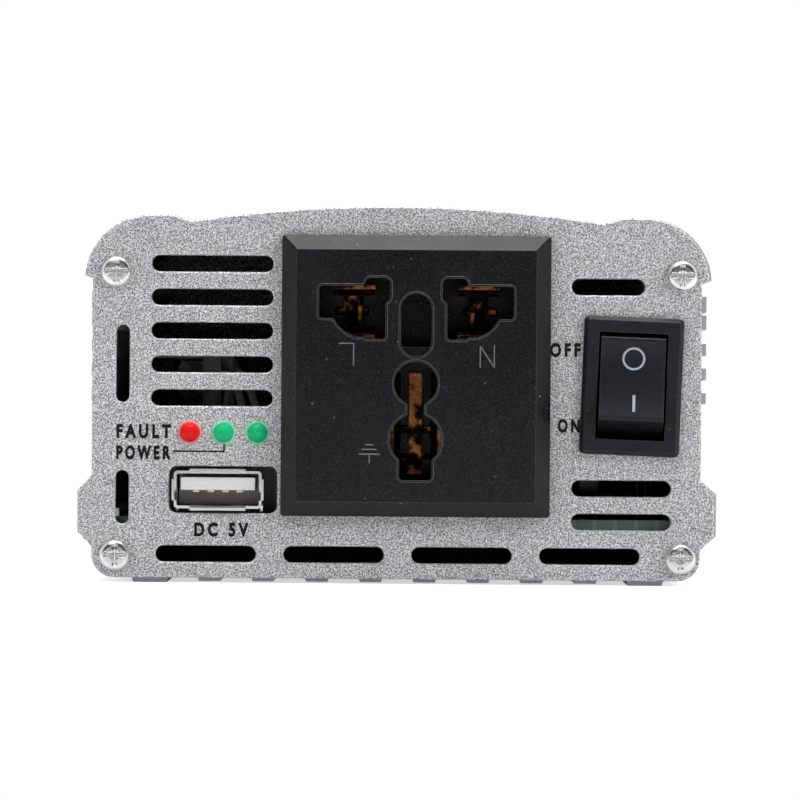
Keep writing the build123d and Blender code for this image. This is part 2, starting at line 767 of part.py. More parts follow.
def indicator_board():
    near_y = front_y + indicator_board_depth
    return block((led_middle_x - 9, near_y, board_top_z), (led_middle_x + 9, near_y + 1.2, led_z + 3.4))


def indicator_plug():
    """The white wire-to-board plug on the indicator board's rear."""
    near_y = front_y + indicator_board_depth + 1.2
    shell = block((led_middle_x + 1, near_y, led_z - 4), (led_middle_x + 7, near_y + 5, led_z + 2.4))
    mouth = block((led_middle_x + 1.6, near_y + 3, led_z - 3.4), (led_middle_x + 6.4, near_y + 6, led_z + 1.8))
    return shell - mouth


# ---------------------------------------------------------------- boards and power parts
def main_board():
    half = inner_x - board_gap
    return block((-half, front_y + board_end_gap, board_bottom_z), (half, rear_y - board_end_gap, board_top_z))


def heat_sink(side, depths):
    """A finned bar standing on the board, its flat face towards the middle."""
    near_y, far_y = front_y + depths[0], front_y + depths[1]
    inner = heat_sink_x - heat_sink_plate / 2
    outer = heat_sink_x + heat_sink_plate / 2
    low_z = board_top_z
    section = rectangle(inner, low_z, outer, low_z + heat_sink_height)
    pitch = (heat_sink_height - 4) / (heat_sink_fins - 1)
    for number in range(heat_sink_fins):
        z = low_z + 2 + number * pitch
        tip = min(outer + heat_sink_reach, inner_x - ledge_depth - 1)
        section += rectangle(outer - 0.5, z - 0.7, tip, z + 0.7)
    bar = prism(section, near_y, far_y)
    for y, z in device_screws(side):
        bar -= Pos(0, y, z) * side_prism(Circle(1.35), inner - 1, outer + 0.1)
    return mirrored_for(side, bar)


def device_ys(side):
    near, far = right_sink_depths if side == 1 else left_sink_depths
    middle = front_y + (near + far) / 2
    return [middle + (number - (device_count - 1) / 2) * device_pitch for number in range(device_count)]


def device_screws(side):
    """The screw places of one side's power devices, in Y and Z."""
    return [(y, device_low_z + 13.5) for y in device_ys(side)]


device_low_z = board_top_z + 5.0
pad_thickness = 0.5
tab_thickness = 1.3
device_thickness = 4.5
device_width = 10.2


def power_devices(kind):
    """One kind of piece for every power device on both heat sinks."""
    pieces = []
    face = heat_sink_x - heat_sink_plate / 2
    tab_face = face - pad_thickness
    for side in (-1, 1):
        for y in device_ys(side):
            half = device_width / 2
            if kind == "pad":
                piece = block((tab_face, y - half - 1.2, device_low_z - 1), (face, y + half + 1.2, device_low_z + 17.5))
                piece -= Pos(0, y, device_low_z + 13.5) * side_prism(Circle(1.8), tab_face - 1, face + 1)
            elif kind == "tab":
                piece = block((tab_face - tab_thickness, y - half, device_low_z + 0.5), (tab_face, y + half, device_low_z + 16))
                piece -= Pos(0, y, device_low_z + 13.5) * side_prism(Circle(1.8), tab_face - 3, tab_face + 1)
                for number in (-1, 0, 1):
                    leg_y = y + number * 2.54
                    pieces.append(mirrored_for(side, block(
                        (tab_face - 2.85, leg_y - 0.4, board_top_z), (tab_face - 2.35, leg_y + 0.4, device_low_z))))
            elif kind == "body":
                piece = block((face - pad_thickness - device_thickness, y - half, device_low_z),
                              (tab_face - tab_thickness, y + half, device_low_z + 9.2))
                piece = chamfer(piece.edges().filter_by(Axis.Y).group_by(Axis.X)[0], 0.5)
            else:
                screw = pan_head_screw(2.6, 1.8, 1.25, tab_thickness + pad_thickness + heat_sink_plate)
                piece = Pos(tab_face - tab_thickness, y, device_low_z + 13.5) * Rot(0, -90, 0) * screw
            pieces.append(mirrored_for(side, piece))
    return pieces


def transformer_core(y):
    """Two ferrite E halves closed on each other, standing on the bobbin's pins."""
    half_width, half_height = transformer_width / 2, transformer_height / 2
    z = board_top_z + 2.0 + half_height
    frame = Rectangle(2 * half_width, 2 * half_height) - Rectangle(2 * half_width - 12, 2 * half_height - 12)
    frame += Rectangle(12, 2 * half_height)
    return prism(Pos(0, z) * frame, y - transformer_core_depth / 2, y + transformer_core_depth / 2)


def transformer_parts(kind):
    pieces = []
    half_height = transformer_height / 2
    z = board_top_z + 2.0 + half_height
    inner = half_height - 6 - clearance
    leg, depth = 6 + clearance, transformer_core_depth / 2 + clearance
    for reach in transformer_depths:
        y = front_y + reach
        if kind == "core":
            pieces.append(transformer_core(y))
        elif kind == "bobbin":
            tube = block((-leg - 0.8, y - depth - 0.8, z - inner), (leg + 0.8, y + depth + 0.8, z + inner))
            flanges = [block((-11.8, y - 12, level - 0.5), (11.8, y + 12, level + 0.5))
                       for level in (z - inner + 0.5, z + inner - 0.5)]
            foot = [block((-11.8, y + side * 10.6 - 1.6, board_top_z),
                          (11.8, y + side * 10.6 + 1.6, z - inner + 0.5)) for side in (-1, 1)]
            hole = block((-leg, y - depth, z - inner - 1), (leg, y + depth, z + inner + 1))
            pieces.append(joined([tube] + flanges + foot) - hole)
        else:
            for outer, low, high in ((10.6, z - inner + 1, z - 0.2), (9.2, z + 0.2, z + inner - 1)):
                ring = Pos(0, y) * RectangleRounded(2 * outer, 2 * (outer - leg + depth), 2)
                ring -= Pos(0, y) * Rectangle(2 * (leg + 0.8), 2 * (depth + 0.8))
                pieces.append(column(ring, low, high))
    return pieces


def capacitor(x, y, radius, height):
    """A round can: sleeve with a rolled groove, and a bare scored top."""
    base_z = board_top_z
    sleeve = rounded_cap(Circle(radius), base_z, base_z + height, 0.8)
    groove = Pos(x, y, base_z + height * 0.14) * Torus(radius + 0.35, 0.8)
    crown = Pos(0, 0, base_z + height) * (Box(radius * 1.3, 0.4, 0.5) + Rot(0, 0, 90) * Box(radius * 1.3, 0.4, 0.5))
    return Pos(x, y, 0) * (sleeve - crown) - groove


def high_voltage_capacitors():
    return [capacitor(side * 9.6, front_y + 45, 9.0, 31.0) for side in (-1, 1)]


def input_capacitors():
    return [capacitor(-14.0 + number * 17.0, front_y + 126, 8.0, 25.0) for number in (0, 1)]


def fuse_xs():
    return [20.0, 28.0, 36.0]


fuse_depth = 117.0


def blade_fuses():
    """Each fuse's moulded head and its two blades."""
    pieces = []
    y = front_y + fuse_depth
    for x in fuse_xs():
        head = block((x - 2.5, y - 9.5, board_top_z + 9), (x + 2.5, y + 9.5, board_top_z + 15))
        waist = block((x - 1.8, y - 7.0, board_top_z + 5), (x + 1.8, y + 7.0, board_top_z + 9))
        pieces.append(fillet(head.edges().filter_by(Axis.X), 0.8) + waist)
        for side in (-1, 1):
            pieces.append(block((x - 0.35, y + side * 5.4 - 2.0, board_top_z),
                                (x + 0.35, y + side * 5.4 + 2.0, board_top_z + 5)))
    return pieces


choke_x, choke_depth, choke_ring, choke_tube = -31.0, 48.0, 6.6, 2.4


def choke(kind):
    """The filter inductor: a ring core lying on the board inside its turns."""
    place = Pos(choke_x, front_y + choke_depth, board_top_z + choke_tube + 1.1)
    if kind == "core":
        return place * Torus(choke_ring, choke_tube)
    turns = []
    count = 16
    for number in range(count):
        angle = 360 / (count + 2) * number
        turn = Rot(90, 0, 0) * Torus(choke_tube + 0.55, 0.45)
        turns.append(place * Rot(0, 0, angle) * Pos(choke_ring, 0, 0) * turn)
    return turns


buzzer_x, buzzer_depth, buzzer_radius = -36.3, 29.0, 5.0


def buzzer():
    place = Pos(buzzer_x, front_y + buzzer_depth, 0)
    can = rounded_cap(Circle(buzzer_radius), board_top_z, board_top_z + 8, 0.6)
    return place * (can - column(Circle(1.0), board_top_z + 6, board_top_z + 9))


chip_places = [(-9.0, 31.0, 19.4), (13.0, 31.0, 9.6), (28.0, 31.0, 9.6)]


def control_chips():
    """Every chip's moulded body and its legs."""
    pieces = []
    for x, depth, length in chip_places:
        y = front_y + depth
        box = block((x - length / 2, y - 3.2, board_top_z + 0.6), (x + length / 2, y + 3.2, board_top_z + 3.9))
        pieces.append(chamfer(box.edges().group_by(Axis.Z)[-1], 0.3))
        count = int(length / 2.54)
        for number in range(count):
            leg_x = x + (number - (count - 1) / 2) * 2.54
            for side in (-1, 1):
                inner, outer = sorted((y + side * 3.2, y + side * 3.8))
                pieces.append(block((leg_x - 0.3, inner, board_top_z), (leg_x + 0.3, outer, board_top_z + 2.4)))
    return pieces


# ---------------------------------------------------------------- fan
fan_front_y = rear_y - fan_depth
fan_tube_radius = 2.2


def fan_frame():
    outline = Pos(fan_x, fan_z) * (RectangleRounded(fan_side, fan_side, 3) - Circle(fan_bore_radius))
    frame = prism(outline, fan_front_y, rear_y)
    arms = Pos(fan_x, fan_z) * (
        Circle(fan_hub_radius) + Rot(0, 0, 30) * Rectangle(2 * fan_bore_radius + 1, 2.2)
        + Rot(0, 0, 120) * Rectangle(2 * fan_bore_radius + 1, 2.2))
    spider = prism(arms, fan_front_y, fan_front_y + fan_plate_thickness)
    tube = prism(Pos(fan_x, fan_z) * Circle(fan_tube_radius), fan_front_y, rear_y - 2.6)
    bore = prism(Pos(fan_x, fan_z) * Circle(fan_shaft_radius + pin_fit), fan_front_y + 0.6, rear_y)
    body = joined([frame, spider, tube]) - bore
    for x, z in fan_holes():
        body -= prism(Pos(x, z) * Circle(fan_hole_radius), fan_front_y - 1, rear_y + 1)
    return body


def fan_rotor():
    """A cup on a shaft with twisted blades round it."""
    near_y = fan_front_y + fan_plate_thickness + 0.4
    far_y = rear_y - 0.8
    cup = Circle(fan_hub_radius)
    hub = prism(cup, near_y, far_y) - prism(Circle(fan_hub_radius - 1.3), near_y - 1, far_y - 1.2)
    hub += prism(Circle(fan_shaft_radius), fan_front_y + 0.8, far_y - 0.6)
    blade_length = fan_bore_radius - 0.6 - fan_hub_radius + 1.2
    middle_y = (near_y + far_y) / 2
    blade = Box(8.6, 0.9, blade_length)
    sweep_ring = prism(Circle(fan_bore_radius - 0.6) - Circle(fan_hub_radius - 0.6), near_y, far_y)
    for number in range(fan_blade_count):
        leaf = Pos(0, middle_y, fan_hub_radius - 0.6 + blade_length / 2) * Rot(0, 0, fan_blade_tilt) * blade
        hub += (Rot(0, number * 360 / fan_blade_count, 0) * leaf) & sweep_ring
    return Pos(fan_x, 0, fan_z) * hub


def fan_stator():
    near_y = fan_front_y + fan_plate_thickness + 0.3
    ring = Pos(fan_x, fan_z) * (Circle(6.6) - Circle(fan_tube_radius))
    return prism(ring, near_y, near_y + 3.4)


def fan_screws():
    screw = Rot(-90, 0, 0) * pan_head_screw(2.7, 1.8, fan_hole_radius - 0.25, fan_depth + plate_thickness + 3.4)
    return [Pos(x, plate_rear_y, z) * screw for x, z in fan_holes()]


def fan_nuts():
    ring = RegularPolygon(3.1, 6) - Circle(fan_hole_radius - 0.25)
    return [prism(Pos(x, z) * ring, fan_front_y - 2.4, fan_front_y) for x, z in fan_holes()]


# ---------------------------------------------------------------- battery posts
def post(colour, kind):
    """One piece of a battery post."""
    x = post_xs[colour]
    base_far = plate_rear_y + post_base_thickness
    washer_far = base_far + washer_thickness
    inner_near = rear_y - post_base_thickness
    bore = Circle(stud_radius + pin_fit)
    at = Pos(x, post_z)
    if kind == "stud":
        stud = prism(at * Circle(stud_radius), rear_y - stud_inside, plate_rear_y + stud_outside - 1.2)
        return chamfer(stud.faces().sort_by(Axis.Y)[-1].edges(), 0.5)
    if kind == "base":
        disc = prism(at * (Circle(post_base_radius) - Circle(stud_radius)), plate_rear_y, base_far)
        spigot = prism(at * (Circle(post_hole_radius - clearance) - Circle(stud_radius)), rear_y, plate_rear_y)
        inner = prism(at * (Circle(post_base_radius - 1) - Circle(stud_radius)), inner_near, rear_y)
        return chamfer((disc + spigot + inner).faces().sort_by(Axis.Y)[-1].outer_wire().edges(), 0.4)
    if kind == "washer":
        return prism(at * (Circle(washer_radius) - bore), base_far, washer_far)
    if kind == "knob":
        body = prism(Circle(knob_radius), washer_far, plate_rear_y + stud_outside)
        body = chamfer(body.faces().sort_by(Axis.Y)[-1].edges(), 0.8)
        flutes = []
        for number in range(14):
            angle = number * 2 * pi / 14
            flutes.append(Pos(cos(angle) * (knob_radius + 0.5), sin(angle) * (knob_radius + 0.5)) * Circle(1.0))
        body -= prism(joined(flutes), washer_far + 1.5, plate_rear_y + stud_outside + 1)
        body -= prism(bore, washer_far - 1, plate_rear_y + stud_outside - 0.8)
        return Pos(x, 0, post_z) * body
    if kind == "nut":
        return prism(at * (RegularPolygon(5.6, 6) - Circle(stud_radius)), inner_near - 5.4, inner_near)
    lug_near = inner_near - 5.4 - 1.2
    ring = prism(at * (Circle(5.8) - Circle(stud_radius)), lug_near, lug_near + 1.2)
    tongue = prism(Pos(x, post_z - 7.0) * Rectangle(5.0, 6.0), lug_near, lug_near + 1.2)
    hole = prism(at * Circle(stud_radius), lug_near - 1, lug_near + 3)
    return ring + tongue - hole


def input_lead(colour):
    """A thick lead from one post's lug down to the main board."""
    x = post_xs[colour]
    side = -1 if colour == "red" else 1
    lug_y = rear_y - post_base_thickness - 5.4 - 1.2
    radius = 1.5
    points = [(x, lug_y - radius, post_z - 8.0), (x, lug_y - radius, board_top_z)]
    return column(Pos(x, lug_y - radius) * Circle(radius), points[1][2], points[0][2] + 1.5)


# ---------------------------------------------------------------- wires
def mains_wires():
    """The three insulated wires from the socket's tabs down to the main board."""
    tab_y = front_y + socket_depth + 9
    radius = 0.9
    live_x, neutral_x = socket_x - 9.8, socket_x + 9.8
    tab_z, earth_z = socket_z + 10.0, socket_z - 8.0
    live = [(live_x, tab_y, tab_z), (live_x, tab_y + 5, tab_z), (live_x - 7, tab_y + 9, tab_z - 8),
            (live_x - 10, tab_y + 13.5, tab_z - 20), (live_x - 10, tab_y + 13.5, board_top_z)]
    neutral = [(neutral_x, tab_y, tab_z), (neutral_x, tab_y + 5, tab_z), (neutral_x + 6, tab_y + 8, tab_z - 9),
               (neutral_x + 8.5, tab_y + 11, tab_z - 20), (neutral_x + 8.5, tab_y + 11, board_top_z)]
    earth = [(socket_x, tab_y, earth_z), (socket_x, tab_y + 3, earth_z), (socket_x + 2, tab_y + 5, earth_z - 5),
             (socket_x + 2, tab_y + 5, board_top_z)]
    return {"live_wire": wire_tube(live, radius), "neutral_wire": wire_tube(neutral, radius),
            "earth_wire": wire_tube(earth, radius)}


def switch_leads():
    """Two leads from the switch's tabs to the main board."""
    tab_y = plate_front_y + switch_body_depth + 7.5
    leads = []
    for step, z, reach in ((0, 0.0, 3.0), (1, 5.5, 6.0)):
        x = switch_x + step * 0.3
        top = switch_z + z
        points = [(x, tab_y, top), (x, tab_y + reach, top), (x + 2 + step, tab_y + reach + 3, top - 8),
                  (x + 2 + step, tab_y + reach + 3, board_top_z)]
        leads.append(wire_tube(points, 0.7))
    return leads


def fan_leads():
    """The fan's two thin leads, from its spider down to the main board."""
    leads = []
    for step in (0, 1):
        x = fan_x - 10.5 + step * 1.6
        y = fan_front_y - 0.6
        points = [(x, y, fan_z - 8), (x, y, fan_z - 14), (x + 1, y - 4, board_top_z + 4),
                  (x + 1, y - 4, board_top_z)]
        leads.append(wire_tube(points, 0.55))
    return leads


def signal_cable():
    """The thin light-coloured leads that loop up from the indicator plug and down to the board."""
    leads = []
    near_y = front_y + indicator_board_depth + 1.2
    for step in (0, 1):
        x = led_middle_x + 3.0 + step * 2.0
        points = [(x, near_y + 3, led_z - 0.8), (x, near_y + 6.5, led_z - 0.8), (x - 1, near_y + 8, led_z + 5),
                  (x - 3, near_y + 5.5 - step, led_z + 10), (x - 5, near_y + 9 - step, led_z + 7),
                  (x - 6, near_y + 12 - step, led_z - 3), (x - 6, near_y + 12 - step, board_top_z)]
        leads.append(wire_tube(points, 0.6))
    return leads


# ---------------------------------------------------------------- write every node
def main():
    os.makedirs("parts", exist_ok=True)
    write("top_cover", top_cover())
    write("bottom_tray", bottom_tray())
    write("front_plate", front_plate())
    write("rear_plate", rear_plate())
    write("plate_screws", plate_screws())
    write("socket_body", socket_body())
    write("socket_back", socket_back())
    write("live_contact", pin_contact(-1))
    write("neutral_contact", pin_contact(1))
    write("earth_contact", earth_contact())
    write("switch_housing", switch_housing())
    write("switch_rocker", switch_rocker())
    write("switch_plunger", switch_plunger())
    write("switch_spring", switch_spring())
    write("switch_contact_lever", switch_contact_lever())
    write("switch_terminals", switch_terminals())
    write("usb_shell", usb_shell())
    write("usb_tongue", usb_tongue())
    write("usb_contacts", usb_contacts())
    write("red_light", led(-1))
    write("green_lights", [led(0), led(1)])
    write("light_leads", led_leads())
    write("indicator_board", indicator_board())
    write("indicator_plug", indicator_plug())
    write("main_board", main_board())
    write("heat_sinks", [heat_sink(-1, left_sink_depths), heat_sink(1, right_sink_depths)])
    for name, kind in (("transistor_bodies", "body"), ("transistor_frames", "tab"),
                       ("transistor_screws", "screw"), ("insulating_pads", "pad")):
        write(name, power_devices(kind))
    for name, kind in (("transformer_cores", "core"), ("transformer_bobbins", "bobbin"),
                       ("transformer_windings", "winding")):
        write(name, transformer_parts(kind))
    write("high_voltage_capacitors", high_voltage_capacitors())
    write("input_capacitors", input_capacitors())
    write("blade_fuses", blade_fuses())
    write("choke_core", choke("core"))
    write("choke_winding", choke("winding"))
    write("buzzer", buzzer())
    write("control_chips", control_chips())
    write("fan_frame", fan_frame())
    write("fan_rotor", fan_rotor())
    write("fan_stator", fan_stator())
    write("fan_screws", fan_screws() + fan_nuts())
    write("post_studs", [post(colour, "stud") for colour in post_xs])
    write("post_nuts", [post(colour, "nut") for colour in post_xs])
    write("post_lugs", [post(colour, "lug") for colour in post_xs])
    write("post_bases", [post(colour, "base") for colour in post_xs])
    for colour in post_xs:
        write(f"{colour}_washer", post(colour, "washer"))
        write(f"{colour}_knob", post(colour, "knob"))
        write(f"{colour}_input_lead", input_lead(colour))
    for name, wire in mains_wires().items():
        write(name, wire)
    write("switch_leads", switch_leads())
    write("fan_leads", fan_leads())
    write("signal_cable", signal_cable())


main()
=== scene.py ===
import json
import math

import bmesh
import bpy
from mathutils import Matrix, Vector
from mathutils.bvhtree import BVHTree


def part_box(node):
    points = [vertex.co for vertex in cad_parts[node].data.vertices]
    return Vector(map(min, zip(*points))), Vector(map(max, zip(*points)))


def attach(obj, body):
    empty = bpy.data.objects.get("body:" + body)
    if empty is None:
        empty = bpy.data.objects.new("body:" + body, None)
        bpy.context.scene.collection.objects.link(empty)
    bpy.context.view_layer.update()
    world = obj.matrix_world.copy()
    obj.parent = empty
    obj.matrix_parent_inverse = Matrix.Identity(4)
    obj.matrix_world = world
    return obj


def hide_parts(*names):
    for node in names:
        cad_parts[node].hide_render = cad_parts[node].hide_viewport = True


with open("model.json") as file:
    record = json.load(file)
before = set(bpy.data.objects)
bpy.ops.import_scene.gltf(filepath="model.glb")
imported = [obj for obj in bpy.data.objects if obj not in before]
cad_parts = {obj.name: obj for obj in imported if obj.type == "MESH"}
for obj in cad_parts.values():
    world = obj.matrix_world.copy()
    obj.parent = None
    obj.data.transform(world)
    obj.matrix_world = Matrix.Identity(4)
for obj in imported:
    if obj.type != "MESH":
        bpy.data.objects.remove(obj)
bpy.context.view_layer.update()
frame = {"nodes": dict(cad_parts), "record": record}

MM = 0.001
NODES = frame["nodes"]


# ---------------------------------------------------------------- shader nodes
def math_node(tree, operation, first, second):
    """A Math node; each input is a number or another node's output."""
    node = tree.nodes.new("ShaderNodeMath")
    node.operation = operation
    for socket, value in zip(node.inputs, (first, second)):
        if isinstance(value, (int, float)):
            socket.default_value = value
        else:
            tree.links.new(value, socket)
    return node.outputs["Value"]


def range_node(tree, value, low, high, low_value=0.0, high_value=1.0, smooth=False):
    """Map a value from low..high to low_value..high_value, clamped, with soft ends if smooth."""
    node = tree.nodes.new("ShaderNodeMapRange")
    if smooth:
        node.interpolation_type = "SMOOTHSTEP"
    for key, number in (("From Min", low), ("From Max", high),
                        ("To Min", low_value), ("To Max", high_value)):
        node.inputs[key].default_value = number
    tree.links.new(value, node.inputs["Value"])
    return node.outputs["Result"]


class Look:
    """A procedural material: one Principled shader with noise-driven colour, roughness and bump."""

    def __init__(self, name, colour, roughness, metallic=0.0, **inputs):
        self.material = bpy.data.materials.new(name)
        self.material.use_nodes = True
        self.tree = self.material.node_tree
        self.nodes = self.tree.nodes
        self.links = self.tree.links
        self.shader = self.nodes["Principled BSDF"]
        self.shader.inputs["Base Color"].default_value = (*colour, 1)
        self.shader.inputs["Roughness"].default_value = roughness
        self.shader.inputs["Metallic"].default_value = metallic
        for key, value in inputs.items():
            self.shader.inputs[key.replace("_", " ")].default_value = value
        self.place = self.nodes.new("ShaderNodeTexCoord").outputs["Object"]
        self.bevel = None

    def stretched(self, x, y, z):
        """Object coordinates scaled differently along each axis."""
        mapping = self.nodes.new("ShaderNodeMapping")
        mapping.inputs["Scale"].default_value = (x, y, z)
        self.links.new(self.place, mapping.inputs["Vector"])
        return mapping.outputs["Vector"]

    def noise(self, scale, detail, where=None, roughness=0.6):
        """Fractal noise; scale is in features per metre."""
        node = self.nodes.new("ShaderNodeTexNoise")
        node.inputs["Scale"].default_value = scale
        node.inputs["Detail"].default_value = detail
        node.inputs["Roughness"].default_value = roughness
        self.links.new(where or self.place, node.inputs["Vector"])
        return node.outputs["Fac"]

    def ramp(self, value, low, high, low_value, high_value):
        """Map a value from low..high to low_value..high_value, clamped."""
        return range_node(self.tree, value, low, high, low_value, high_value)

    def tint(self, factor, colour):
        """Blend the base colour towards another where factor is high."""
        mix = self.nodes.new("ShaderNodeMix")
        mix.data_type = "RGBA"
        mix.inputs["B"].default_value = (*colour, 1)
        base = self.shader.inputs["Base Color"]
        if base.is_linked:
            self.links.new(base.links[0].from_socket, mix.inputs["A"])
        else:
            mix.inputs["A"].default_value = base.default_value
        self.links.new(factor, mix.inputs["Factor"])
        self.links.new(mix.outputs["Result"], base)

    def rough(self, value):
        """Let a node's output set the roughness."""
        self.links.new(value, self.shader.inputs["Roughness"])

    def bump(self, value, distance, strength):
        """Add a height in metres on top of the bumps made so far."""
        node = self.nodes.new("ShaderNodeBump")
        node.inputs["Distance"].default_value = distance
        node.inputs["Strength"].default_value = strength
        self.links.new(value, node.inputs["Height"])
        normal = self.shader.inputs["Normal"]
        if normal.is_linked:
            self.links.new(normal.links[0].from_socket, node.inputs["Normal"])
        self.links.new(node.outputs["Normal"], normal)

    def soft_edges(self, radius):
        """Round every sharp edge's shading by a radius in metres."""
        self.bevel = self.nodes.new("ShaderNodeBevel")
        self.bevel.samples = 6
        self.bevel.inputs["Radius"].default_value = radius
        self.links.new(self.bevel.outputs["Normal"], self.shader.inputs["Normal"])

    def edge_mask(self, sharpness):
        """High where the softened normal leaves the true one: at the edges."""
        geometry = self.nodes.new("ShaderNodeNewGeometry")
        dot = self.nodes.new("ShaderNodeVectorMath")
        dot.operation = "DOT_PRODUCT"
        self.links.new(self.bevel.outputs["Normal"], dot.inputs[0])
        self.links.new(geometry.outputs["Normal"], dot.inputs[1])
        away = math_node(self.tree, "SUBTRACT", 1.0, dot.outputs["Value"])
        return math_node(self.tree, "MINIMUM", math_node(self.tree, "MULTIPLY", away, sharpness), 1.0)


# ---------------------------------------------------------------- materials
def scaled(colour, factor, lift=0.0):
    """A colour times a factor, plus a lift, no channel over 1."""
    return tuple(min(1.0, part * factor + lift) for part in colour)


def sandy_silver(name, colour):
    """Sand-textured silver powder paint: hard bright and dark grains, and painted highlights on edges."""
    look = Look(name, colour, 0.42, 0.5)
    look.soft_edges(0.16 * MM)
    fine = look.noise(4300, 1.0, roughness=0.5)
    coarse = look.noise(1800, 2.0)
    broad = look.noise(45, 3.0)
    dark, light = scaled(colour, 0.16), scaled(colour, 2.0)
    look.tint(look.ramp(fine, 0.36, 0.48, 0.78, 0.0), dark)
    look.tint(look.ramp(fine, 0.52, 0.64, 0.0, 0.85), light)
    look.tint(look.ramp(coarse, 0.35, 0.65, 0.2, 0.0), dark)
    look.tint(look.ramp(broad, 0.35, 0.7, 0.0, 0.1), dark)
    # painted highlight: every edge is lightened towards near-white
    look.tint(look.edge_mask(4.0), (0.95, 0.96, 0.97))
    look.rough(look.ramp(fine, 0.3, 0.7, 0.52, 0.30))
    look.bump(coarse, 0.05 * MM, 0.8)
    look.bump(fine, 0.07 * MM, 1.0)
    return look.material


def drawn_aluminium(name, colour):
    """Extruded metal with fine die lines along Y under a satin finish, and painted highlights on edges."""
    look = Look(name, colour, 0.42, 0.55)
    look.soft_edges(0.2 * MM)
    lines = look.noise(1.0, 4.0, look.stretched(2600, 18, 2600))
    cloud = look.noise(60, 3.0)
    look.tint(look.ramp(lines, 0.42, 0.62, 0.22, 0.0), scaled(colour, 0.7))
    # painted highlight: the edges are lightened towards pale grey
    look.tint(look.ramp(look.edge_mask(3.0), 0.0, 1.0, 0.0, 0.35), (0.8, 0.81, 0.82))
    look.rough(look.ramp(cloud, 0.3, 0.7, 0.38, 0.44))
    look.bump(lines, 0.012 * MM, 0.6)
    return look.material


def moulded(name, colour, roughness, grain, specks=0.0, edge=0.18, **inputs):
    """Moulded plastic with a spark-eroded grain, painted edge highlights, and a few dust specks if asked."""
    look = Look(name, colour, roughness, 0.0, **inputs)
    look.soft_edges(0.15 * MM)
    fine = look.noise(4200, 3.0)
    broad = look.noise(70, 2.0)
    look.tint(look.ramp(fine, 0.48, 0.62, 0.0, 0.6 * grain), scaled(colour, 1.9, 0.011))
    if specks:
        dust = look.noise(1500, 1.0)
        look.tint(look.ramp(dust, 0.735, 0.80, 0.0, specks), (0.5, 0.52, 0.55))
    # painted highlight: the edges are lifted by the edge amount
    look.tint(look.edge_mask(4.0), scaled(colour, 1.0, edge))
    look.rough(look.ramp(broad, 0.3, 0.7, roughness - 0.06, roughness + 0.06))
    look.bump(fine, 0.02 * MM * grain, 0.7)
    return look.material


def bare_metal(name, colour, roughness, wear=0.2):
    """Unpainted metal with a fine grain and patches of tarnish."""
    look = Look(name, colour, roughness, 1.0)
    look.soft_edges(0.1 * MM)
    grain = look.noise(1.0, 4.0, look.stretched(700, 700, 700))
    tarnish = look.noise(260, 4.0)
    look.tint(look.ramp(tarnish, 0.45, 0.75, 0.0, wear), scaled(colour, 0.55))
    look.rough(look.ramp(grain, 0.3, 0.7, roughness - 0.08, roughness + 0.1))
    look.bump(grain, 0.006 * MM, 0.5)
    return look.material


def shade_painted_bronze(name, colour):
    """Bronze painted near-black as the socket's shade, with random bronze patches and painted edge glints.
    """
    # painted shade: the base colour is nearly black where the bronze sits deep in the socket
    look = Look(name, (0.010, 0.006, 0.004), 0.42, 0.9)
    look.soft_edges(0.12 * MM)
    patches = look.noise(420, 3.0)
    fine = look.noise(2600, 2.0)
    look.tint(look.ramp(patches, 0.50, 0.60, 0.0, 0.9), colour)
    # painted glints: the edges are tinted brighter than the bronze
    look.tint(look.edge_mask(4.0), scaled(colour, 1.6))
    look.rough(look.ramp(patches, 0.4, 0.65, 0.5, 0.24))
    look.bump(fine, 0.01 * MM, 0.5)
    return look.material


def smooth_plate(name, colour, roughness):
    """Bright plating: smooth, with a faint cloudiness and a few fine scratches."""
    look = Look(name, colour, roughness, 1.0)
    cloud = look.noise(180, 3.0)
    scratches = look.noise(1.0, 3.0, look.stretched(900, 900, 90))
    look.tint(look.ramp(cloud, 0.45, 0.75, 0.0, 0.25), scaled(colour, 0.7))
    look.rough(look.ramp(cloud, 0.3, 0.7, roughness - 0.06, roughness + 0.08))
    look.bump(scratches, 0.002 * MM, 0.4)
    return look.material


def lens(name, colour, glow):
    """A tinted epoxy lamp: clear over a diffusing core."""
    look = Look(name, colour, 0.16, 0.0, IOR=1.45, Specular_IOR_Level=0.15)
    look.shader.inputs["Subsurface Weight"].default_value = 0.35
    look.shader.inputs["Subsurface Radius"].default_value = (0.8 * MM,) * 3
    look.shader.inputs["Coat Weight"].default_value = 0.06
    cloud = look.noise(900, 2.0)
    look.tint(look.ramp(cloud, 0.4, 0.7, 0.0, 0.35), glow)
    look.bump(look.noise(1400, 2.0), 0.006 * MM, 0.4)
    return look.material


def circuit_board(name):
    """Green solder mask over copper tracks."""
    look = Look(name, (0.085, 0.15, 0.13), 0.32)
    tracks = look.nodes.new("ShaderNodeTexBrick")
    tracks.inputs["Scale"].default_value = 160
    tracks.inputs["Mortar Size"].default_value = 0.06
    tracks.inputs["Color1"].default_value = (0, 0, 0, 1)
    tracks.inputs["Color2"].default_value = (0, 0, 0, 1)
    tracks.inputs["Mortar"].default_value = (1, 1, 1, 1)
    look.links.new(look.place, tracks.inputs["Vector"])
    look.tint(tracks.outputs["Color"], (0.14, 0.22, 0.19))
    look.tint(look.ramp(look.noise(1800, 2.0), 0.55, 0.75, 0.0, 0.4), (0.24, 0.30, 0.29))
    look.bump(tracks.outputs["Color"], 0.03 * MM, 0.6)
    return look.material


def wound_copper(name, colour):
    """Enamelled wire turns seen as fine ridges around Z."""
    look = Look(name, colour, 0.28, 0.85)
    wave = look.nodes.new("ShaderNodeTexWave")
    wave.bands_direction = "Z"
    wave.inputs["Scale"].default_value = 330
    look.links.new(look.place, wave.inputs["Vector"])
    # painted shade: the grooves between turns are darkened to a quarter of the copper's colour
    look.tint(look.ramp(wave.outputs["Fac"], 0.0, 0.4, 0.8, 0.0), scaled(colour, 0.25))
    look.bump(wave.outputs["Fac"], 0.15 * MM, 0.8)
    return look.material


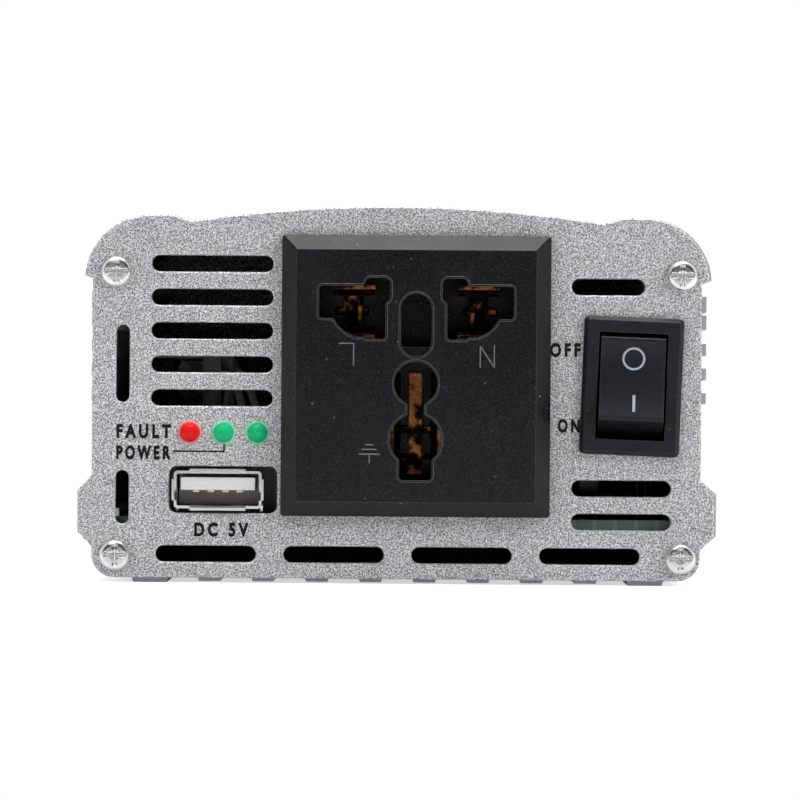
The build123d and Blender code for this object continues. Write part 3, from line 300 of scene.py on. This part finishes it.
def insulation(name, colour):
    """Soft wire covering or winding tape."""
    look = Look(name, colour, 0.42)
    fine = look.noise(900, 3.0)
    look.tint(look.ramp(fine, 0.4, 0.7, 0.0, 0.3), scaled(colour, 0.7))
    look.bump(fine, 0.02 * MM, 0.5)
    return look.material


LOOKS = {
    "silver_paint": sandy_silver("sandy_silver", (0.46, 0.465, 0.48)),
    "dark_paint": drawn_aluminium("drawn_aluminium", (0.40, 0.41, 0.43)),
    "screw_steel": smooth_plate("plated_steel", (0.80, 0.80, 0.79), 0.26),
    "socket_plastic": moulded("socket_black", (0.002, 0.0022, 0.0032), 0.24, 1.0, specks=0.2, edge=0.12,
                              Specular_IOR_Level=0.28),
    "switch_plastic": moulded("switch_black", (0.005, 0.0055, 0.0075), 0.42, 0.5, specks=0.1, edge=0.05,
                              Specular_IOR_Level=0.28),
    "contact_bronze": shade_painted_bronze("contact_bronze", (0.40, 0.15, 0.045)),
    "brass": bare_metal("brass", (0.80, 0.62, 0.30), 0.24, wear=0.25),
    "usb_steel": smooth_plate("nickel_plate", (0.80, 0.80, 0.81), 0.14),
    "white_plastic": moulded("white_plastic", (0.50, 0.50, 0.495), 0.4, 0.2, edge=0.05),
    "gold": bare_metal("gold_flash", (0.90, 0.68, 0.32), 0.2, wear=0.1),
    "red_lens": lens("red_lens", (0.52, 0.006, 0.008), (0.72, 0.03, 0.025)),
    "green_lens": lens("green_lens", (0.006, 0.33, 0.13), (0.02, 0.52, 0.26)),
    "tinned": bare_metal("tinned_copper", (0.72, 0.72, 0.70), 0.3),
    "board": circuit_board("circuit_board"),
    "sink_aluminium": drawn_aluminium("sink_aluminium", (0.70, 0.71, 0.73)),
    "chip_plastic": moulded("epoxy_black", (0.02, 0.02, 0.022), 0.55, 0.8),
    "grey_pad": moulded("silicone_pad", (0.40, 0.41, 0.42), 0.6, 0.6),
    "ferrite": moulded("ferrite", (0.045, 0.045, 0.05), 0.5, 1.0),
    "bobbin_plastic": moulded("phenolic", (0.03, 0.03, 0.03), 0.45, 0.4),
    "winding_tape": insulation("yellow_tape", (0.72, 0.45, 0.04)),
    "can_sleeve": moulded("can_sleeve", (0.02, 0.03, 0.10), 0.25, 0.2),
    "fuse_plastic": moulded("fuse_amber", (0.75, 0.42, 0.03), 0.25, 0.2, edge=0.1),
    "copper": wound_copper("enamelled_copper", (0.72, 0.32, 0.14)),
    "black_plastic": moulded("black_plastic", (0.018, 0.018, 0.018), 0.45, 0.6, edge=0.1),
    "red_plastic": moulded("red_plastic", (0.45, 0.012, 0.012), 0.3, 0.4, edge=0.12),
    "wire_brown": insulation("wire_brown", (0.16, 0.06, 0.025)),
    "wire_blue": insulation("wire_blue", (0.02, 0.08, 0.42)),
    "wire_green": insulation("wire_green", (0.06, 0.36, 0.05)),
    "wire_red": insulation("wire_red", (0.5, 0.015, 0.015)),
    "wire_black": insulation("wire_black", (0.015, 0.015, 0.015)),
    "wire_white": insulation("wire_white", (0.78, 0.78, 0.76)),
}


def dress_nodes():
    """Give every CAD node the finish of its material slot."""
    for part in frame["record"]["subparts"]:
        node = NODES[part["node"]]
        node.data.materials.clear()
        node.data.materials.append(LOOKS[part["material_slot"]])


# ---------------------------------------------------------------- pieces
def add_piece(name, mesh, body, material):
    """Put a mesh in the scene on a moving body and material."""
    piece = bpy.data.objects.new(name, mesh)
    bpy.context.scene.collection.objects.link(piece)
    mesh.materials.clear()
    mesh.materials.append(material)
    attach(piece, body)
    return piece


def printed_ink():
    """Matt black ink, thin in places."""
    look = Look("printed_ink", (0.004, 0.004, 0.005), 0.6, Specular_IOR_Level=0.2)
    look.tint(look.ramp(look.noise(3800, 2.0), 0.66, 0.76, 0.0, 0.4), (0.12, 0.12, 0.13))
    look.bump(look.noise(3000, 2.0), 0.01 * MM, 0.5)
    return look.material


def mark_paint():
    """The grey-blue filling of the rocker's marks."""
    look = Look("mark_paint", (0.24, 0.28, 0.33), 0.45)
    look.tint(look.ramp(look.noise(2600, 2.0), 0.5, 0.7, 0.0, 0.45), (0.16, 0.19, 0.23))
    look.bump(look.noise(3000, 2.0), 0.01 * MM, 0.5)
    return look.material


INK = printed_ink()
MARK = mark_paint()
# painted highlights: the rim colours are far paler tints of the lens colours
RIMS = {"red_lens": lens("red_rim", (0.85, 0.22, 0.20), (0.98, 0.50, 0.46)),
        "green_lens": lens("green_rim", (0.16, 0.72, 0.40), (0.50, 0.92, 0.66))}
# painted highlight: the raised strokes are tinted a paler grey than the socket's black
EMBOSSED = moulded("socket_embossing", (0.07, 0.075, 0.08), 0.3, 0.6, edge=0.12)
PLATE_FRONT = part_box("front_plate")[0].y
PRINT_LIFT = 0.02 * MM
PRINT_DEPTH = 0.09 * MM
STROKE_WIDTH = 0.17 * MM
STROKE_DEPTH = 0.16 * MM
SOCKET_RIM_HEIGHT = 0.12 * MM


def finished(name, shape, smooth=False):
    """Turn a bmesh into a mesh with outward normals, smooth-shaded if asked."""
    bmesh.ops.recalc_face_normals(shape, faces=shape.faces)
    for face in shape.faces:
        face.smooth = smooth
    mesh = bpy.data.meshes.new(name)
    shape.to_mesh(mesh)
    shape.free()
    return mesh


def circle(shape, place, radius, y, steps):
    """Points on a circle about Y through place."""
    turns = [2 * math.pi * i / steps for i in range(steps)]
    return [shape.verts.new((place[0] + radius * math.cos(turn), y, place[1] + radius * math.sin(turn)))
            for turn in turns]


def stitched(shape, rings, closed):
    """Join neighbouring rings of points with faces; closed also joins the last to the first."""
    pairs = list(zip(rings, rings[1:]))
    if closed:
        pairs.append((rings[-1], rings[0]))
    for first, second in pairs:
        for i in range(len(first)):
            j = (i + 1) % len(first)
            shape.faces.new((first[i], first[j], second[j], second[i]))


def text_mesh(words, width, height, depth):
    """Generic lettering as a thin solid, its outline scaled to width and height, facing -Y."""
    curve = bpy.data.curves.new(words, "FONT")
    curve.body = words
    curve.extrude = 0.02
    curve.offset = 0.05
    curve.space_character = 1.5
    curve.resolution_u = 6
    holder = bpy.data.objects.new(words, curve)
    bpy.context.scene.collection.objects.link(holder)
    bpy.context.view_layer.update()
    depsgraph = bpy.context.evaluated_depsgraph_get()
    mesh = bpy.data.meshes.new_from_object(holder.evaluated_get(depsgraph))
    bpy.data.objects.remove(holder)
    low = Vector([min(v.co[i] for v in mesh.vertices) for i in range(3)])
    high = Vector([max(v.co[i] for v in mesh.vertices) for i in range(3)])
    middle, size = (low + high) / 2, high - low
    for vertex in mesh.vertices:
        local = vertex.co - middle
        vertex.co = Vector((local.x / size.x * width, -local.z / size.z * depth,
                            local.y / size.y * height))
    return mesh


def print_on_plate(name, words, x, z, width, height):
    """A printed word on the front plate; sizes in millimetres."""
    mesh = text_mesh(words, width * MM, height * MM, PRINT_DEPTH)
    mesh.transform(Matrix.Translation((x * MM, PLATE_FRONT - PRINT_LIFT, z * MM)))
    return add_piece(name, mesh, "case", INK)


def strip_mesh(name, points, width, depth):
    """A flat line through points in X and Z, with square ends, a thin solid about Y = 0."""
    shape = bmesh.new()
    for start, end in zip(points, points[1:]):
        a, b = Vector((start[0], 0, start[1])), Vector((end[0], 0, end[1]))
        along = (b - a).normalized()
        across = Vector((-along.z, 0, along.x)) * width / 2
        a, b = a - along * width / 2, b + along * width / 2
        corners = [a - across, b - across, b + across, a + across]
        front = [shape.verts.new(c + Vector((0, -depth / 2, 0))) for c in corners]
        back = [shape.verts.new(c + Vector((0, depth / 2, 0))) for c in corners]
        shape.faces.new(front)
        shape.faces.new(back[::-1])
        for i in range(4):
            j = (i + 1) % 4
            shape.faces.new((front[i], back[i], back[j], front[j]))
    return finished(name, shape)


def plate_lettering():
    """The generic words on the plate, and the line from POWER to its lamp."""
    print_on_plate("word_fault", "FAULT", -38.3, 22.7, 8.2, 2.15)
    print_on_plate("word_power", "POWER", -38.3, 19.5, 8.2, 2.15)
    print_on_plate("word_dc", "DC 5V", -26.5, 8.0, 8.2, 2.15)
    print_on_plate("word_off", "OFF", 25.0, 35.4, 4.6, 2.15)
    print_on_plate("word_on", "ON", 25.6, 24.0, 3.3, 2.1)
    leader = [(-33.8, 19.75), (-26.2, 19.75), (-26.2, 20.9)]
    mesh = strip_mesh("power_leader", [(x * MM, z * MM) for x, z in leader], 0.24 * MM, 0.05 * MM)
    mesh.transform(Matrix.Translation((0, PLATE_FRONT - PRINT_LIFT, 0)))
    add_piece("power_leader", mesh, "case", INK)


def socket_marks():
    """Shallow raised strokes for line, neutral and earth, set as the socket is: upside down."""
    low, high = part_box("socket_body")
    centre_x, centre_z = (low.x + high.x) / 2, (low.z + high.z) / 2
    face = low.y + SOCKET_RIM_HEIGHT
    strokes = {
        "mark_line": [[(-11.5, 4.85), (-9.35, 4.85), (-9.35, 1.65)]],
        "mark_neutral": [[(9.6, 1.4), (9.6, 4.6), (11.7, 1.4), (11.7, 4.6)]],
        "mark_earth": [[(-6.9, -13.0), (-6.9, -11.75)], [(-8.35, -11.7), (-5.45, -11.7)],
                       [(-7.9, -11.0), (-5.9, -11.0)], [(-7.4, -10.3), (-6.4, -10.3)]],
    }
    for name, lines in strokes.items():
        joined = bmesh.new()
        for line in lines:
            points = [(centre_x + x * MM, centre_z + z * MM) for x, z in line]
            piece = strip_mesh(name, points, STROKE_WIDTH, STROKE_DEPTH)
            joined.from_mesh(piece)
            bpy.data.meshes.remove(piece)
        mesh = bpy.data.meshes.new(name)
        joined.to_mesh(mesh)
        joined.free()
        mesh.transform(Matrix.Translation((0, face, 0)))
        add_piece(name, mesh, "case", EMBOSSED)


def onto_surface(mesh, node, proud):
    """Lay a flat mesh on a CAD node's front: its front points stand proud, the rest sink in."""
    surface = BVHTree.FromPolygons([v.co for v in NODES[node].data.vertices],
                                   [p.vertices for p in NODES[node].data.polygons])
    for vertex in mesh.vertices:
        hit = surface.ray_cast(Vector((vertex.co.x, -1.0, vertex.co.z)), Vector((0, 1, 0)))[0]
        vertex.co.y = hit.y - proud if vertex.co.y < 0 else hit.y + 0.05 * MM


def ring_mesh(name, centre, outer, inner):
    """A flat ring in X and Z, a thin solid about Y = 0."""
    shape = bmesh.new()
    half = 0.01 * MM
    loops = [circle(shape, centre, radius, y, 48)
             for radius, y in ((outer, -half), (inner, -half), (inner, half), (outer, half))]
    stitched(shape, loops, True)
    return finished(name, shape)


def rocker_marks():
    """The ring and the bar on the rocker's two faces."""
    low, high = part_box("switch_housing")
    x, z = (low.x + high.x) / 2, (low.z + high.z) / 2
    ring_place = (x + 0.25 * MM, z + 4.15 * MM)
    ring = ring_mesh("mark_off", ring_place, 1.72 * MM, 1.40 * MM)
    bar_ends = [(x + 0.27 * MM, z - 1.5 * MM), (x + 0.22 * MM, z - 3.6 * MM)]
    bar = strip_mesh("mark_on", bar_ends, 0.42 * MM, 0.02 * MM)
    for name, mesh in (("mark_off", ring), ("mark_on", bar)):
        onto_surface(mesh, "switch_rocker", 0.03 * MM)
        add_piece(name, mesh, "rocker", MARK)


def light_rims():
    """A pale ring round each lamp at the plate's hole, its light tint a painted highlight of the rim there.
    """
    low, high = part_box("green_lights")
    red_low, red_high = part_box("red_light")
    z = (low.z + high.z) / 2
    red_x = (red_low.x + red_high.x) / 2
    flange = (red_high.x - red_low.x) / 2
    collar, thickness, sides = 1.60 * MM, 0.13 * MM, 12
    places = {"red_rim": (red_x, "red_lens"), "green_rim_left": (low.x + flange, "green_lens"),
              "green_rim_right": (high.x - flange, "green_lens")}
    for name, (x, slot) in places.items():
        shape = bmesh.new()
        rings = []
        for side in range(sides):
            turn = 2 * math.pi * side / sides
            y = PLATE_FRONT + PRINT_LIFT + thickness * math.sin(turn)
            rings.append(circle(shape, (x, z), collar + thickness * math.cos(turn), y, 64))
        stitched(shape, rings, True)
        add_piece(name, finished(name, shape, smooth=True), "case", RIMS[slot])


def screw_recess(u, v, r, radius, height):
    """The cross recess's depth at a point of the head, in from the dome."""
    arm = 0.24 * MM + 0.16 * r
    inside = max(0.0, min(1.0, (arm - min(abs(u), abs(v))) / (0.24 * MM)))
    inside = inside * inside * (3 - 2 * inside)
    reach = max(0.0, min(1.0, (0.72 * radius - r) / (0.36 * MM)))
    core = max(0.0, 1.0 - r / (0.75 * MM))
    return height * min(0.60, 0.34 * inside * reach + 0.26 * core)


def screw_shape(shape, place, face_y, way, radius, height, shank, length):
    """A pan head with a cross recess, facing along way (-1 or 1), on its shank."""
    around, outward = 120, 46
    rings = []
    for number in range(outward + 1):
        r = radius * number / outward
        edge = max(0.0, (r / radius - 0.62) / 0.38)
        rolled = 0.62 * (1 - math.sqrt(max(0.0, 1 - edge ** 2)))
        top = height * (1.0 - 0.06 * (r / radius) ** 2) - height * rolled
        ring = []
        for i in range(around):
            turn = 2 * math.pi * i / around
            u, v = r * math.cos(turn), r * math.sin(turn)
            y = face_y + way * (top - screw_recess(u, v, r, radius, height))
            ring.append(shape.verts.new((place[0] + u, y, place[1] + v)))
        rings.append(ring)
    for r, y in ((radius, 0.0), (shank, 0.0), (shank, -length)):
        rings.append(circle(shape, place, r, face_y + way * y, around))
    stitched(shape, rings, False)
    shape.faces.new(rings[-1])


def plate_screws():
    """The eight plate screws, with a rolled head edge and a cross recess, in place of the plain ones."""
    low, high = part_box("plate_screws")
    rear_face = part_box("rear_plate")[1].y
    head, tall, shank, length = 2.35 * MM, 1.6 * MM, 1.2 * MM, 9.0 * MM
    shape = bmesh.new()
    for x in (low.x + head, high.x - head):
        for z in (low.z + head, high.z - head):
            screw_shape(shape, (x, z), PLATE_FRONT, -1, head, tall, shank, length)
            screw_shape(shape, (x, z), rear_face, 1, head, tall, shank, length)
    bmesh.ops.remove_doubles(shape, verts=shape.verts, dist=1e-7)
    mesh = finished("plate_screw_set", shape, smooth=True)
    piece = add_piece("plate_screw_set", mesh, "case", LOOKS["screw_steel"])
    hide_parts("plate_screws")


# ---------------------------------------------------------------- studio
def studio_world():
    """White all round for the camera; dimmer in front of the object for reflections and light."""
    world = bpy.data.worlds.new("studio")
    bpy.context.scene.world = world
    world.use_nodes = True
    tree = world.node_tree
    path = tree.nodes.new("ShaderNodeLightPath")
    split = tree.nodes.new("ShaderNodeSeparateXYZ")
    tree.links.new(tree.nodes.new("ShaderNodeTexCoord").outputs["Generated"], split.inputs["Vector"])
    behind = range_node(tree, split.outputs["Y"], -0.75, 0.15, 0.03, 1.0, smooth=True)
    mirrored = math_node(tree, "MAXIMUM", path.outputs["Is Glossy Ray"], path.outputs["Is Transmission Ray"])
    share = range_node(tree, mirrored, 0.0, 1.0, 0.36, 1.0, smooth=True)
    level = math_node(tree, "MULTIPLY", behind, share)
    strength = math_node(tree, "MAXIMUM", level, path.outputs["Is Camera Ray"])
    background = tree.nodes["Background"]
    background.inputs["Color"].default_value = (1, 1, 1, 1)
    tree.links.new(strength, background.inputs["Strength"])


def floor():
    """A pale floor that keeps the shadow near the object and turns plain white further out."""
    mesh = bpy.data.meshes.new("floor")
    reach = 6.0
    corners = [(-reach, -reach, 0), (reach, -reach, 0), (reach, reach, 0), (-reach, reach, 0)]
    mesh.from_pydata(corners, [], [(0, 1, 2, 3)])
    plane = bpy.data.objects.new("floor", mesh)
    bpy.context.scene.collection.objects.link(plane)
    material = bpy.data.materials.new("floor")
    material.use_nodes = True
    tree = material.node_tree
    near = tree.nodes["Principled BSDF"]
    near.inputs["Base Color"].default_value = (0.72, 0.72, 0.72, 1)
    near.inputs["Roughness"].default_value = 0.95
    near.inputs["Emission Color"].default_value = (1, 1, 1, 1)
    far = tree.nodes.new("ShaderNodeEmission")
    length = tree.nodes.new("ShaderNodeVectorMath")
    length.operation = "LENGTH"
    tree.links.new(tree.nodes.new("ShaderNodeTexCoord").outputs["Object"], length.inputs[0])
    away = range_node(tree, length.outputs["Value"], 0.10, 0.42, smooth=True)
    path = tree.nodes.new("ShaderNodeLightPath")
    seen = math_node(tree, "MAXIMUM", path.outputs["Is Camera Ray"], path.outputs["Is Transmission Ray"])
    glow = math_node(tree, "MULTIPLY", seen, 0.62)
    tree.links.new(glow, near.inputs["Emission Strength"])
    blend = tree.nodes.new("ShaderNodeMixShader")
    tree.links.new(math_node(tree, "MULTIPLY", away, seen), blend.inputs["Fac"])
    tree.links.new(near.outputs["BSDF"], blend.inputs[1])
    tree.links.new(far.outputs["Emission"], blend.inputs[2])
    tree.links.new(blend.outputs["Shader"], tree.nodes["Material Output"].inputs["Surface"])
    mesh.materials.append(material)


def softbox(name, place, width, height, watts, mirrored=True):
    """A flat lamp that faces the object; mirrored says whether reflections show it."""
    light = bpy.data.lights.new(name, "AREA")
    light.shape = "RECTANGLE"
    light.size, light.size_y = width, height
    light.energy = watts
    lamp = bpy.data.objects.new(name, light)
    bpy.context.scene.collection.objects.link(lamp)
    lamp.location = place
    target = Vector((0, 0, 0.03))
    lamp.rotation_euler = (target - Vector(place)).to_track_quat("-Z", "Y").to_euler()
    lamp.visible_glossy = mirrored


def lights():
    """Five lamps. Right and left only light surfaces, so that the roof doesn't mirror them."""
    softbox("overhead", (0.0, -0.17, 0.9), 0.8, 0.26, 5.0)
    softbox("above_rear", (0.0, 0.75, 0.9), 0.9, 0.5, 6.0)
    softbox("above_front", (-0.25, -0.75, 0.80), 0.3, 0.3, 1.5)
    softbox("right", (0.78, -0.70, 0.50), 0.6, 0.6, 11.3, mirrored=False)
    softbox("left", (-0.78, -0.70, 0.45), 0.6, 0.6, 5.2, mirrored=False)


def camera():
    """A long lens square to the front plate, rolled a little, level with the object's middle."""
    view = bpy.data.cameras.new("camera")
    holder = bpy.data.objects.new("camera", view)
    bpy.context.scene.collection.objects.link(holder)
    distance, field, sensor = 0.9, 120.3 * MM, 36
    view.sensor_width = sensor
    view.lens = sensor * distance / field
    view.clip_start, view.clip_end = 0.05, 20
    roll = Matrix.Rotation(math.radians(0.45), 4, "Z")
    holder.location = (0.2 * MM, PLATE_FRONT - distance, 27.7 * MM)
    holder.rotation_euler = (Matrix.Rotation(math.radians(90), 4, "X") @ roll).to_euler()
    bpy.context.scene.camera = holder
    bpy.context.scene.view_settings.view_transform = "Standard"


dress_nodes()
plate_lettering()
socket_marks()
rocker_marks()
light_rims()
plate_screws()
studio_world()
floor()
lights()
camera()
